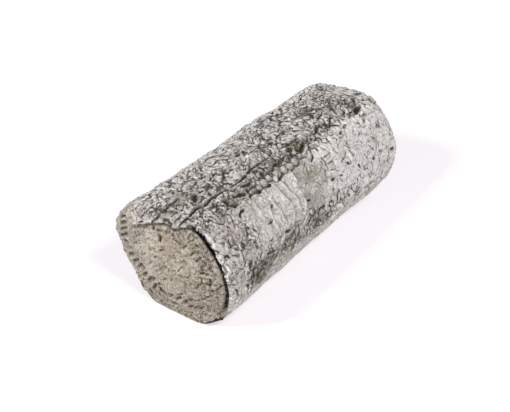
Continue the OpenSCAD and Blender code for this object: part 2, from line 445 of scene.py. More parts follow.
# %% Places of the grooves
GROOVES = (              # half width mm, depth mm, then places as (station, angle)
    (0.4, 1.5, (0.5, 104.2), (4, 104.5), (8, 102.9), (13, 104.2), (18, 102.7), (25, 103.7),
     (29, 105.4)),
    (0.38, 0.9, (29, 105.4), (34, 106.1), (38, 104.6), (44, 102.4), (49, 103.3), (54, 104.2)),
    (0.3, 0.5, (54, 104.2), (60, 103.3), (66, 105), (71, 104)),
    (0.2, 0.3, (1.3, 106), (4, 108), (7, 106.8), (10, 106.4)),
    (0.2, 0.3, (3, 98.5), (8, 97), (13, 98), (20, 98.5)),
    (0.55, 1.4, (0.9, 82.2), (4, 80.8), (7.4, 80.2), (11.6, 78.2)),
    (0.6, 1, (2, 83.5), (2.2, 88), (2.9, 92.6)), (0.55, 0.9, (6.6, 86.5), (8, 89.3)),
    (0.8, 1.8, (12.6, 94.3), (14.6, 90.4), (16.9, 86.4)),
    (0.3, 0.7, (29.4, 98), (31, 92.5), (33, 87.5), (36, 84)),
    (0.55, 0.9, (31.3, 86.5), (32, 84)),
    (0.35, 0.6, (21, 95.5), (20.6, 92), (22, 89.5), (24.5, 89)),
    (0.5, 0.7, (23, 92.8), (24.2, 91.6)), (0.6, 0.7, (46, 78), (49, 75.5)),
    (0.4, 1, (53.3, 91.4), (53.4, 87)), (0.55, 0.8, (36, 91), (37, 90.3)),
    (0.6, 0.9, (36.4, 70.5), (37.6, 68)), (0.6, 0.8, (25, 62.5), (27, 60)),
    (0.7, 0.7, (60, 92), (62.5, 88)), (0.7, 0.8, (19.6, 112), (20.2, 114.8), (19.8, 117)),
    (0.4, 0.9, (20.3, 117.5), (20.7, 120.5), (21.8, 122), (23.5, 121.6)),
    (0.35, 0.9, (20.8, 133), (21, 130), (22, 128.4), (24, 128.2)),
    (0.5, 0.7, (24.5, 114.5), (27.5, 116.5), (29.5, 119)),
    (0.45, 0.8, (31, 111.5), (33.5, 113.5), (36.5, 113)),
    (0.5, 0.9, (40.3, 124.6), (41.6, 124.9)),
    (0.45, 0.9, (46.2, 125.8), (47.6, 125.6), (49.3, 123.6), (49.4, 120.2)),
    (0.45, 0.8, (34.2, 124.6), (36.2, 124.2)), (0.4, 0.8, (30, 122.6), (31.6, 122.2)),
    (0.3, 0.5, (27, 163), (28.4, 164.6), (30, 163.2)),
    (0.3, 0.5, (30.8, 150.8), (32.2, 151.2), (33.7, 149.6)),
    (0.3, 0.4, (35, 140.6), (36.4, 140)), (0.35, 0.6, (24.8, 172.4), (27.2, 174), (30.2, 174.8)),
    (0.5, 0.8, (37, 166.6), (38.8, 168.6), (40.4, 169.8)),
    (0.7, 1.5, (40.8, 177), (42.4, 174.8), (44, 172.2)),
    (0.45, 0.8, (27.6, 183.2), (29.6, 180.8), (31.6, 178.4)),
    (0.45, 0.7, (25.6, 188), (27, 185.6)), (0.45, 0.7, (36.6, 184), (38.6, 181.8)),
    (0.5, 0.7, (42, 186), (44, 183.4)), (0.55, 0.9, (13.8, 172.4), (15.2, 170.4), (16, 168.6)),
    (0.4, 1.2, (4.3, 178.4), (5.3, 183), (6.3, 190), (5.6, 192.2), (4.2, 190.4)),
    (0.35, 0.8, (4, 149.6), (5.6, 149.8), (6.3, 153)),
    (0.3, 0.5, (52.6, 156.4), (54.4, 157), (56.2, 159)),
    (0.35, 0.5, (69.8, 117), (69.2, 122), (68, 128), (65.6, 131)),
    (0.6, 1.1, (64.2, 114.2), (65, 117.6), (67.2, 115.4), (69.6, 112)),
    (0.35, 0.4, (71.7, 133), (71.9, 140), (71.5, 147)), (0.4, 0.8, (80.9, 121.4), (80.7, 129)),
    (0.35, 0.7, (72.2, 121.6), (72.4, 127)), (0.4, 0.7, (77.2, 117), (78.2, 119.6)),
    (0.45, 0.8, (77.4, 111.6), (80, 110.2), (82.4, 107.8)),
    (0.45, 0.6, (73, 114.8), (74.6, 113.6)), (0.45, 0.9, (71.4, 156.8), (73, 156.6)),
    (0.45, 0.6, (83, 153), (84.2, 154.6)), (0.45, 0.7, (88.6, 161.6), (89.8, 166)),
    (0.45, 0.5, (76.4, 158), (77.8, 159.2)),
    (0.8, 2, (102.4, 119.4), (103.4, 117.8), (106.8, 117.2)),
    (0.4, 0.7, (108, 102.4), (110.4, 103)), (0.45, 0.6, (105.6, 102.2), (107, 102.6)),
    (0.35, 0.5, (102.8, 82), (99.5, 92.2), (96.4, 101.3), (94.2, 111)),
    (0.6, 0.6, (88, 83), (90.8, 87.6)), (0.6, 0.8, (69.4, 89.8), (71.4, 85.6)),
    (0.6, 0.8, (80, 73.4), (81.6, 70.8)), (0.6, 0.7, (111, 171.6), (114.4, 174)),
    (0.5, 0.5, (98.8, 167.4), (100.4, 168.4)), (0.5, 0.5, (92, 123.6), (94, 122.8)),
    (0.5, 0.5, (88.4, 126.4), (89.8, 125)),
)
print(len(GROOVES), "grooves,", sum(len(groove) - 2 for groove in GROOVES), "places")

# %% [markdown]
# ## Cutting the grooves
#
# The skin is unrolled flat, and every point asks how far it is from the nearest path. A knife cut
# made with booleans would leave hard walls. A distance gives a soft V with frayed edges, pointed
# at both ends, and it is kept so that the finish can draw the same line finer than the mesh.

# %% Cut the grooves
unrolled = np.stack([station, arc(angle)], 1)
FAR = 9.0                # stands for a place that no mark is near


def nearness(path, flat):
    """Distance of flat places from a path in mm, and the share of the path passed there."""
    dots = [np.array(dot) for dot in path]
    best, passed = np.full(len(flat), 99.0), np.zeros(len(flat))
    for k, (a, b) in enumerate(zip(dots[:-1], dots[1:])):
        t = np.clip((flat - a) @ (b - a) / ((b - a) @ (b - a)), 0, 1)
        distance = np.linalg.norm(flat - a - t[:, None] * (b - a), axis=1)
        closer = distance < best
        best[closer], passed[closer] = distance[closer], ((k + t) / (len(dots) - 1))[closer]
    return best, passed


def cut_marks(marks, flat, frayed, narrowed, bite, faintest, firmer):
    """The depth cut, and for the nearest mark the distance in its half widths and its force.

    The bite scales every depth. The force, from 0 to 1, is how firmly the finish draws the mark.
    """
    depth, force = np.zeros(len(flat)), np.zeros(len(flat))
    nearest = np.full(len(flat), FAR)
    for width, deep, *path in marks:
        distance, passed = nearness(path, flat)
        taper = narrowed(width, passed)
        distance = np.maximum(distance + frayed, 0)
        depth = np.maximum(depth, bite * deep * hump(distance, taper + 0.15))
        closer = distance / taper < nearest
        nearest[closer] = (distance / taper)[closer]
        force[closer] = min(1, faintest + firmer * deep)
    return depth, nearest, force


def pointed(width, passed):
    """The half width along a mark, narrower at both ends."""
    return width * (0.55 + 0.45 * np.sin(math.pi * passed))


on_flat = [(width, deep, *((s, arc(a)) for s, a in path)) for width, deep, *path in GROOVES]
frayed = 0.08 * fine + 0.10 * waves(smooth, 2.6, 41)
groove_depth, groove, groove_force = cut_marks(on_flat, unrolled, frayed, pointed, 1.1, 0.35, 0.65)
groove_shoulder = hump(groove - 2.4, 0.9) * groove_force
rough *= 1 - 0.85 * (1 - ease(1.5, 5.0, groove)) * groove_force      # calm skin beside a groove
print("grooves from", spread(groove_depth), "mm deep")

# %% [markdown]
# ## Fingers and knobs
#
# Under the hands of whoever turned the log, the near side was pushed into shallow fingers. Each
# rises backwards to an edge and drops, like a shingle over the next, and most of them end above
# in a small round knob.

# %% Fingers and knobs
FINGER_EDGES = (         # drop in mm, then places as (angle, station) from top to foot
    (0.35, (122, 26.4), (130, 26.6), (138, 26.5), (143, 24.3), (150, 24), (158, 21.2),
     (166, 20.6), (173, 23)),
    (0.4, (125, 29.3), (138, 29.9), (145, 30.2), (152, 31.4), (160, 29.5), (168, 28)),
    (0.5, (122, 32.8), (130, 34.3), (138, 34.9), (149, 34), (158, 33.7), (165, 34.5)),
    (0.5, (128, 37.2), (138, 37.6), (147, 38.7), (155, 38.2), (165, 39)),
    (0.55, (125, 42.5), (137, 42.9), (144, 43.9), (150, 45.3), (158, 44.5), (166, 43)),
    (0.45, (125, 45.4), (130, 46.6), (136, 46.9), (142, 47.5), (150, 49), (166, 48)),
    (1.1, (121, 53.3), (133, 52.9), (141, 51.6), (150, 51.8), (157, 52.1), (162, 50.4),
     (170, 49.2)),
)
KNOBS = (                # station, angle, radius in mm
    (31.8, 120.2, 0.9), (33.8, 120.6, 1.1), (36.2, 121.4, 1.1), (39.4, 120.3, 1.6),
    (43.1, 119.4, 1.4), (45.2, 123.4, 1.2), (47.7, 120.9, 1.7), (51.6, 121.2, 1.5),
    (55.2, 122.4, 1.4), (58.8, 121.4, 1.6), (37.6, 117.6, 1), (49.6, 117.2, 1.2),
    (54.4, 117.6, 1.1), (62.6, 120.4, 1), (71.2, 119, 1.1), (78.9, 122.4, 1),
    (84.2, 119.6, 1), (104.6, 122, 1.2),
)
FIRST_RISE = 19.0        # station where the first finger starts to rise


def lay_fingers():
    """The fingers' height, the distance behind the nearest edge in mm, and how clear it is."""
    height, nearest = np.zeros(len(station)), np.full(len(station), FAR)
    previous = np.full(len(station), FIRST_RISE)
    reach = window(124, 167, 3.5, angle + 1.2 * ragged)
    for drop, *places in FINGER_EDGES:
        edge = np.interp(angle, *zip(*places)) + 0.16 * waves(smooth, 3.5, 51)
        rise = np.clip((station - previous) / np.maximum(edge - previous, 0.5), 0, 1)
        height += drop * rise ** 1.6 * (1 - ease(-0.15, 0.5, station - edge))
        nearest = np.where(np.abs(station - edge) < np.abs(nearest), station - edge, nearest)
        previous = edge
    return height * reach, nearest, reach * np.clip(0.75 + 0.5 * waves(smooth, 6.0, 53), 0.15, 1)


def raise_knobs():
    """The knobs' height, and the distance from the nearest one in its radii."""
    height, nearest = np.zeros(len(station)), np.full(len(station), FAR)
    for at, at_angle, size in KNOBS:
        distance = np.hypot(station - at, arc(angle - at_angle)) + 0.10 * fine
        height = np.maximum(height, size * np.sqrt(np.clip(1 - (distance / size) ** 2, 0, 1)))
        nearest = np.minimum(nearest, distance / size)
    return height, nearest


finger_height, finger_edge, finger_reach = lay_fingers()
knob_height, knob = raise_knobs()
knob_gap = hump(knob - 1.25, 0.25)
rough *= ease(1.15, 1.7, knob)
plateau = 0.30 * window(22, 52.4, 2, station) * window(124, 167, 5, angle)
print(f"fingers {finger_height.max():.2f} mm high, knobs {knob_height.max():.2f} mm")

# %% [markdown]
# ## The bare cheese
#
# Fresh cheese tears into fine crumbs. Its end is gently domed, grained all over, ribbed towards
# the gap, and dotted with rows of small pits near the rim where curd pulled away.

# %% Grain of the bare end
out_mm = np.hypot(smooth[:, 1] - AXIS_Y, smooth[:, 2] - AXIS_Z * swell(station))
gap_here = np.interp(angle % 360, *zip(*GAP_STRENGTH))
cheese_ends = 0.90 - 0.46 * np.maximum(ease(0.1, 0.5, gap_here), window(58, 108, 6, wrapped))
cheese = 1 - ease(-0.07, 0.07, part - cheese_ends + 0.04 * waves(smooth, 3.4, 71))
curd = (0.16 * waves(smooth, 3.4, 72) + 0.13 * waves(smooth, 1.9, 73)
        + 0.25 * waves(smooth, 10.0, 74))
RIB_RADIUS, RIB_GAP = 19, 2.0        # how far out the ribs are counted, mm from one to the next
ribs = np.cos(2 * math.pi * np.radians(angle) * RIB_RADIUS / RIB_GAP + 1.2 * waves(smooth, 6.0, 75))
ribs *= 0.16 * window(13.5, 20, 2, out_mm) * window(122, 215, 10, angle)
print("bare cheese on", f"{cheese.mean():.2f}", "of the points")

# %% [markdown]
# ## Marks of the bare end
#
# The rows of pits and the few scratches are placed one by one, across the end instead of round
# the log. The rind's edge folds over the top of the end, along a wavy line with creases of its own.

# %% Places of the marks
CURD_MARKS = (           # half width mm, depth mm, then places across the end as (y, z)
    (0.5, 0.7, (23.2, 33), (20.6, 34.8)), (0.55, 0.8, (23.2, 30.4), (20.6, 32.2)),
    (0.55, 0.8, (23.2, 27.8), (20.8, 29.4)), (0.7, 0.9, (22.8, 25), (21.2, 26.2)),
    (0.75, 0.9, (21.8, 22.4), (20.4, 23.2)), (0.6, 0.8, (20.6, 20.2), (18.4, 21.4)),
    (0.7, 0.9, (20, 17.4), (18.4, 18.2)), (0.65, 0.9, (18.2, 14.8), (16.8, 15.8)),
    (0.6, 0.9, (16.2, 13), (15.2, 14.6), (13.6, 14.2)), (0.65, 0.9, (14, 10.4), (12.4, 12)),
    (0.65, 0.9, (11.6, 8.8), (10.4, 10.6)), (0.5, 0.8, (9.6, 10), (8.6, 11.6)),
    (0.65, 1, (8.9, 7), (7.7, 8.6)), (0.6, 1.1, (6.9, 6.4), (5.5, 5.6), (4.3, 6.8), (5.4, 8.4)),
    (0.5, 0.9, (6.6, 9.8), (5.2, 10.8)), (0.7, 1, (3.2, 6.2), (1.6, 7.6)),
    (0.45, 0.8, (3.4, 9), (2.4, 10)), (0.55, 0.8, (0.4, 7.6), (-1, 8.8)),
    (0.6, 0.9, (-2.4, 7.2), (-4, 8.4)), (0.45, 0.8, (-3.4, 9.8), (-4.8, 10.6)),
    (0.6, 0.9, (-5.4, 6.6), (-6.8, 8)), (0.5, 0.9, (-8.2, 6.4), (-9.8, 7.4)),
    (0.45, 0.8, (-8, 9), (-9.6, 10)), (0.45, 0.8, (-11.2, 7.4), (-12.6, 8.6)),
    (0.4, 0.8, (-13.4, 7.8), (-14.6, 9)), (0.32, 0.7, (-10.4, 10.2), (-11.4, 10.8)),
    (0.32, 0.7, (-12.2, 11.2), (-13.2, 11.9)), (0.32, 0.7, (-14.2, 12.6), (-15.2, 13.2)),
    (0.32, 0.7, (-16, 13.9), (-16.8, 14.6)), (0.32, 0.7, (-17.8, 15.4), (-18.8, 16.2)),
    (0.4, 0.9, (-14.2, 24.6), (-15.6, 25.8), (-17.2, 25.2)),
    (0.5, 1, (-18.2, 23.6), (-18.6, 22.2)), (0.45, 0.9, (-18.2, 21.2), (-16.6, 20.6)),
    (0.38, 0.7, (-14.4, 23), (-15, 21.2)),
    (0.34, 0.9, (-20.2, 19.6), (-21.8, 21.4), (-23.4, 23.4)),
    (0.4, 0.8, (-18, 17.8), (-19.4, 18.8)), (0.34, 0.7, (-9.6, 30.6), (-11.6, 33)),
    (0.34, 0.7, (-12, 29), (-14, 31.2)), (0.34, 0.7, (-14.4, 27.4), (-16.4, 29.8)),
    (0.34, 0.6, (-17.2, 27.6), (-19, 29.6)), (0.34, 0.6, (-12.6, 18.4), (-14.8, 20.8)),
    (0.34, 0.6, (-11, 16.2), (-13, 18)), (0.34, 0.6, (-8.6, 36), (-10.8, 37.6)),
    (0.4, 0.7, (-6.8, 27.4), (-7.6, 26)), (0.34, 0.6, (-6, 32), (-7.6, 34)),
    (0.5, 0.8, (7.6, 37), (7.4, 34.8)), (0.45, 0.8, (5.6, 34.8), (4, 35.4)),
    (0.6, 1, (4.8, 33.2), (4.4, 30.8)), (0.45, 0.8, (4, 27), (2.6, 27.6)),
    (0.34, 0.6, (9.6, 27), (8, 25.6)), (0.4, 0.6, (-2, 34.6), (-4.6, 33.4)),
    (0.4, 0.7, (1.8, 20.8), (0.6, 18.6)), (0.34, 0.5, (-0.2, 17), (-0.6, 15.2)),
    (0.7, 0.8, (15.2, 6.4), (13.8, 5.6)), (0.55, 0.9, (11, 4.8), (10, 4.2)),
    (0.5, 0.7, (-0.4, 4.8), (-1.6, 4.4)), (0.34, 0.6, (12, 33), (10.4, 34.6)),
    (0.34, 0.5, (15.6, 28), (14, 29.4)), (0.34, 0.5, (17.4, 24), (15.8, 25.2)),
    (0.34, 0.5, (10, 18), (8.6, 19.6)), (0.34, 0.5, (12.6, 21), (11.4, 22.6)),
    (0.34, 0.5, (3, 14), (1.8, 15.4)), (0.34, 0.5, (-4.6, 22), (-5.8, 24)),
    (0.34, 0.5, (-8.4, 20.4), (-9.8, 22.4)), (0.34, 0.5, (6.4, 23), (5.2, 24.6)),
)
FOLD = (                 # where the rind's edge folds over, as (y, z)
    (-14, 40.8), (-11.9, 40.9), (-8.1, 42), (-5.5, 40.6), (-2.1, 38.7), (0.4, 39.6), (3, 39.2),
    (5.8, 37.9), (8.5, 36.6), (11.3, 35.2), (14, 33.8), (16.8, 32.4), (20, 32.6),
)
FOLD_MARKS = (           # the same kind of marks on the folded rind
    (0.45, 1, (7.8, 37.8), (5.3, 40.6), (3, 44.2)),
    (0.5, 0.9, (2.5, 40.8), (0.7, 41.3), (-0.8, 40.6), (-1, 39.3)),
    (0.34, 1, (-4.7, 41.3), (-5.9, 43.5), (-8.2, 46.4)), (0.3, 0.7, (5.5, 43.2), (3.4, 46.1)),
    (0.3, 0.6, (11, 39.9), (8.1, 44)), (0.3, 0.6, (13.5, 36.9), (11.7, 39.6)),
    (0.28, 0.6, (-0.4, 43.3), (-2.8, 45.9)), (0.28, 0.6, (-2.3, 41.9), (-4.3, 44.7)),
    (0.35, 0.7, (14.3, 34.6), (12.5, 36)),
)
MARK_WIDTH = 0.8         # share of the half width given above that is cut
print(len(CURD_MARKS), "marks on the cheese,", len(FOLD_MARKS), "on the folded rind")

# %% [markdown]
# ## Cutting the marks and laying the fold
#
# The marks are cut like the grooves, but with blunt ends. Above the fold line the cheese gives way
# to rind again, with a raised lip along the line.

# %% Cut the marks
def blunt(width, passed):
    return MARK_WIDTH * width


curd_depth, curd_mark, curd_force = cut_marks(
    CURD_MARKS + FOLD_MARKS, smooth[:, 1:], 0.07 * fine, blunt, 0.8, 0.3, 0.6)
above_fold = smooth[:, 2] - np.interp(smooth[:, 1], *zip(*FOLD)) + 0.15 * waves(smooth, 2.4, 78)
fold_reach = window(-12, 17.5, 2.5, smooth[:, 1]) * (station < 5) * (smooth[:, 2] > 28)
cheese *= 1 - ease(-0.1, 0.3, above_fold) * ease(0, 0.8, fold_reach)
fold_lip = hump(above_fold - 0.7, 0.75) * fold_reach * (1 - ease(5, 14, smooth[:, 1]))
face_relief = curd + ribs - curd_depth
print("relief of the end from", spread(face_relief), "mm")

# %% [markdown]
# ## Putting the relief on
#
# All heights are added up and push each point along its normal. Inside the gap nothing is added,
# so its walls stay clear of each other. On the flat strip the log's weight has pressed the rind
# smooth against the table, and one low corner of the bare end bulges out like a heel. A raking
# light from one direction is painted into the colour, so one side of every wrinkle is lighter; the
# painted light is how far the relief has turned a place towards that direction.

# %% Push the points out
# the direction that the painted raking light comes from
PAINTED_LIGHT_FROM = (-0.50, 0.32, 0.80)
HEEL_ANGLE = -43
in_gap = window(0.20, 0.62, 0.04, part) * ease(0.1, 0.4, gap_here)
# a band of painted shadow under the foot of the bare end's rim
undercut_shadow = window(213, 241, 4, angle) * ease(0.46, 0.56, part) * (station < 3.6)
lumps = 0.35 * (0.5 * np.sin(np.radians(3.1 * station + 2 * angle + 40))
                + 0.5 * np.sin(np.radians(5.3 * station - 3 * angle + 200))
                + 0.4 * np.sin(np.radians(8.7 * station + 5 * angle))
                + 0.3 * np.sin(np.radians(11.9 * station - 4 * angle + 90)))
swells = (0.22 * waves(smooth, 17.0, 76) + 0.20 * waves(smooth, 8.5, 77)) * (0.35 + 0.65 * top)
rind_relief = 1.7 * rough * wrinkles + swells + 0.06 * fine + 1.3 * finger_height + plateau
rind_relief = np.maximum(rind_relief, (0.8 * knob_height + 0.2 * wrinkles) * (knob_height > 0))
rind_relief += 0.22 * groove_shoulder - groove_depth - 0.25 * knob_gap
relief = rind_relief * on_rind * (1 - cheese) + face_relief * cheese
heel = 1.5 * hump(wrapped - HEEL_ANGLE, 12) * (1 - ease(3, 13, station)) * ease(0, 0.6, part)
relief = relief * (1 - in_gap) + lumps + heel + 0.9 * fold_lip
pressed = 1 - ease(0.3, 3.5, smooth[:, 2])
relief = relief * (1 - 0.9 * pressed)
carved = smooth + normals * relief[:, None]
carved[:, 2] = np.maximum(carved[:, 2], 0)
skin_mesh.vertices.foreach_set("co", (carved / 1000).astype(np.float32).ravel())
skin_mesh.update()
# painted raking light: how far the carved relief turns each place towards that direction
slope = (point_normals() - normals) @ np.array(PAINTED_LIGHT_FROM)
print("carved box, mm:", (carved.max(0) - carved.min(0)).round(1))

# %% [markdown]
# ## Patches of ash and tint
#
# Ash never coats evenly. Each patch is a soft oval on the unrolled skin, bent by the same ragged
# field as the zones. Tints are patches too, from the olive of young blue mould to the pink of a
# ripening rind.

# %% Patches
ASH_PATCHES = (          # station, angle, half length mm, half width mm, strength
    (19, 183, 5, 4.2, 0.62), (15, 171, 1.8, 1.5, 0.45), (31, 181, 8, 3, 0.34),
    (42, 176, 3, 2.2, 0.42), (42, 185, 5, 2, 0.3), (56, 179, 5, 4.2, 0.4),
    (66, 183, 9, 3.2, 0.26), (78, 180, 9, 4.2, 0.16), (56, 160, 4, 3, 0.14),
    (29, 116.5, 8, 2.6, 0.32), (21, 117, 2.6, 3, 0.34), (44, 113, 9, 2.6, 0.29),
    (56, 112, 8, 2.8, 0.27), (67, 112, 5, 3.4, 0.31), (80, 112, 9, 3, 0.18), (88, 86, 5, 4, 0.34),
    (101, 104, 10, 8, 0.18), (8, 87, 5.5, 3, 0.28), (24, 84, 8, 5, 0.1), (47, 77, 3.6, 2.6, 0.3),
    (34, 87, 3, 2.4, 0.22), (54, 90, 3, 3, 0.2), (13, 126, 3.2, 4, 0.26), (14, 148, 3, 4.4, 0.22),
    (16, 117, 2.5, 2.5, 0.26), (9, 138, 2, 2.6, 0.16), (5, 152, 1.6, 1.6, 0.22),
)
TINTS = (                # station, angle, half length mm, half width mm, olive (-) or pink (+)
    (7, 87, 6, 4, -0.8), (36, 84, 6, 5, -0.3), (66, 114, 5, 4, -0.9), (88, 84, 4, 3, -0.8),
    (72.5, 156.5, 2, 1.5, -0.9), (14, 145, 6, 9, 0.7), (30, 155, 6, 4, 0.15), (8, 115, 7, 6, 0.5),
    (50, 70, 22, 10, 0.45), (98, 75, 9, 4, 0.6), (60, 92, 14, 6, 0.35), (16, 186, 6, 5, -0.2),
    (75, 90, 8, 5, 0.4), (33, 112, 9, 4, -0.25), (61, 150, 7, 9, -0.15), (2, -42, 6, 11, 0.9),
)


def patches(table, blur):
    total = np.zeros(len(station))
    for at, at_angle, length, width, strength in table:
        u = (station - at + 0.8 * ragged) / length
        v = (arc(wrapped - at_angle) + 0.7 * ragged) / width
        total += strength * np.exp(-(u * u + v * v) ** blur)
    return total


ash = np.minimum(patches(ASH_PATCHES, 1.3), 0.6)
tint = np.clip(patches(TINTS, 1.0) + 0.22 * waves(smooth, 12.0, 82), -1, 1)
print("ash on", f"{(ash > 0.1).mean():.2f}", "of the points")

# %% [markdown]
# ## How pale the rind is
#
# Bloom whitens the high and smooth places and the pale stretch, and ash darkens its patches and
# the furrows. A painted highlight runs along the lip's edge at the bare end, a painted glancing
# sheen along the far top edge, and a painted reflection of the floor on the underside.

# %% Paleness
tone = np.tanh(1.3 * wrinkles)
pale = (0.67 - 0.04 * top + 0.07 * band + 0.17 * fingers + 0.36 * grainy + 0.05 * speckled
        + (0.08 + 0.06 * top - 0.04 * fingers) * tone + 0.04 * waves(smooth, 6.0, 81) - ash)
# a painted highlight along the lip's edge at the bare end
pale += 0.10 * window(0.62, 0.90, 0.05, part) * window(112, 200, 6, angle)
# a painted glancing sheen along the far top edge, and a painted reflection of the floor on the
# underside
pale += 0.12 * (1 - ease(40, 75, wrapped)) * ease(0, 30, wrapped) + 0.10 * under
pale += 0.28 * ease(104, 113, station + 0.7 * ragged) * top
print("paleness from", spread(pale))

# %% [markdown]
# ## What the finish needs to know
#
# The numbers are kept on every point: how pale and how rough the rind is, where the cheese is,
# where the gap's painted shade and the painted shadow under the rim's foot lie, the tint and the
# painted raking light, and how far the nearest furrow, groove, finger edge and knob is, with how
# strongly it shows. A painted image could hold them too, but numbers on points need no
# unwrapping, and a distance stays crisp when the finish turns it into a line.

# %% Keep the numbers
FACE_FROM = 0.8          # the part of the rim from which marks of the bare end give way to grooves
FARTHEST = 6


def keep(name, values):
    layer = skin_mesh.attributes.new(name, "FLOAT", "POINT")
    layer.data.foreach_set("value", np.asarray(values, np.float32))
    print(name, "mean", f"{np.mean(values):.2f}")


bare = on_rind * (1 - cheese) * (1 - 0.7 * pressed)
keep("pale", pale)
keep("cheese", cheese)
keep("tint", tint)
keep("rough", rough * bare)
keep("fold_a", fold_a)
keep("fold_b", fold_b)
# the painted raking light, kept on the points for the colour
keep("slope", np.clip(slope, -0.8, 0.8) * (1 - in_gap) * (1 - pressed))

# painted shade in the gap beside the lip, narrower where the gap is shallower, and painted shadow
# under the rim's foot
gap_start, gap_stop = 0.30 - 0.11 * gap_here, 0.42 + 0.30 * gap_here
keep("gap", np.maximum(window(gap_start, gap_stop, 0.04, part) * ease(0.0, 0.5, gap_here), undercut_shadow))

on_face = part < FACE_FROM
# a line of painted shadow just under the edge of the folded rind, drawn like the marks
fold_shadow_line = np.where(fold_reach > 0.3, np.abs(above_fold + 0.35) / 0.5, FAR)
shown = curd_force * np.maximum(cheese, fold_reach)
curd_force = np.where(fold_shadow_line < curd_mark, 0.75 * fold_reach, shown)
curd_mark = np.minimum(curd_mark, fold_shadow_line)
keep("groove", np.minimum(np.where(on_face, curd_mark, groove), FARTHEST))
keep("groove_force", np.where(on_face, curd_force, groove_force * bare))
keep("finger_edge", finger_edge)
keep("finger_reach", finger_reach * bare)
keep("knob", np.minimum(knob, FARTHEST))

keep("pale_rim", on_face * ease(2, 17, smooth[:, 1]) * ease(4, 16, smooth[:, 2]))
crumbly = 0.25 + 0.75 * window(15, 30, 2.5, out_mm + 1.2 * waves(smooth, 9.0, 83))
keep("crumbly", on_face * crumbly)

# %% [markdown]
# ## Shader maths as expressions
#
# A finish is a graph of small nodes. Placing them by hand hides the thought, so one small class
# wraps a node's output and lets the maths be written as Python. Its add method places any node
# with its settings and inputs, and a few more methods give the curves used most.

# %% A wrapper for sockets
class Wire:
    """An output socket in a material's node tree, which adds, multiplies and so on as nodes."""

    def __init__(self, tree, socket=None):
        self.tree, self.socket = tree, socket

    def add(self, kind, settings=None, inputs=None, output=0):
        """Adds a node, sets it up, joins its inputs and wraps the output asked for."""
        node = self.tree.nodes.new(kind)
        for key, value in (settings or {}).items():
            if key == "stops":
                ramp = node.color_ramp.elements
                while len(ramp) < len(value):
                    ramp.new(1.0)
                for stop, (position, color) in zip(ramp, value):
                    stop.position, stop.color = position, (*color, 1.0)
            else:
                setattr(node, key, value)
        for key, value in (inputs or {}).items():
            socket = self.find(node.inputs, key)
            if isinstance(value, Wire):
                self.tree.links.new(value.socket, socket)
            else:
                socket.default_value = value
        return Wire(self.tree, self.find(node.outputs, output))

    @staticmethod
    def find(sockets, name):
        """A socket by its number, its identifier or its name."""
        if isinstance(name, int):
            return sockets[name]
        return next(s for s in sockets if name in (s.identifier, s.name))

    def math(self, operation, first, second=0.0, third=0.0):
        inputs = {0: first, 1: second, 2: third}
        return self.add("ShaderNodeMath", {"operation": operation}, inputs)

    def __add__(self, other):
        return self.math("ADD", self, other)

    def __sub__(self, other):
        return self.math("SUBTRACT", self, other)

    def __rsub__(self, other):
        return self.math("SUBTRACT", other, self)

    def __mul__(self, other):
        return self.math("MULTIPLY", self, other)

    __radd__ = __add__
    __rmul__ = __mul__

    def __abs__(self):
        return self.math("ABSOLUTE", self)

    def hump(self, width):
        """1 where the value is 0, falling off on both sides over a width."""
        share = self * (1 / width)
        return self.math("EXPONENT", share * share * -1.0)

    def most(self, other):
        return self.math("MAXIMUM", self, other)

    def clamp(self):
        return self.add("ShaderNodeClamp", None, {"Value": self})

    def mix(self, first, second):
        """The first colour where this value is 0, and the second where it is 1."""
        inputs = {"Factor_Float": self, "A_Color": first, "B_Color": second}
        return self.add("ShaderNodeMix", {"data_type": "RGBA"}, inputs, "Result_Color")


def linear(red, green, blue):
    """A colour for a socket, from linear values."""
    return (red, green, blue, 1.0)


print("a wire can", ", ".join(name for name in vars(Wire) if name.isalpha()))

# %% [markdown]
# ## Grain, slits and painted highlights beside them
#
# Rind and cheese are one matt skin, so they share one finish, and these parts serve both. The
# numbers on the points place the marks, and noise in the log's own space adds powder finer than
# the mesh and frays the slits, since a clean line would look drawn. The shoulders beside the
# slits get a painted highlight.

# %% Shared parts of the finish
finish = bpy.data.materials.new("ash_rind_and_cheese")
finish.use_nodes = True
paint = Wire(finish.node_tree)
place = paint.add("ShaderNodeTexCoord", output="Object")


def read(name):
    return paint.add("ShaderNodeAttribute", {"attribute_name": name}, output="Fac")


def noise(size_mm, detail=2.0, roughness=0.6):
    """Noise round 0 with grains of about that size."""
    inputs = {"Vector": place, "Scale": 1000 / size_mm, "Detail": detail, "Roughness": roughness}
    return paint.add("ShaderNodeTexNoise", None, inputs, 0) - 0.5


powder, dust = noise(1.0, 3.0), noise(0.45, 1.0)
crinkle = (1 - abs(noise(2.0, 2.0, 0.55)) * 16).clamp()
# the painted raking light, read back from the points
cheese_here, tint_here, painted_raking_light_here = read("cheese"), read("tint"), read("slope")
mark, force = read("groove"), read("groove_force")
frayed_mark = mark + noise(1.2) * (0.8 + cheese_here * 0.8)
slit = frayed_mark.hump(1.05) * force * (1.6 - cheese_here * 0.1)
# a painted highlight along the raised shoulder beside each groove and mark
shoulder_highlight = (mark - 2.3).hump(0.8) * force
print(len(finish.node_tree.nodes), "nodes so far")
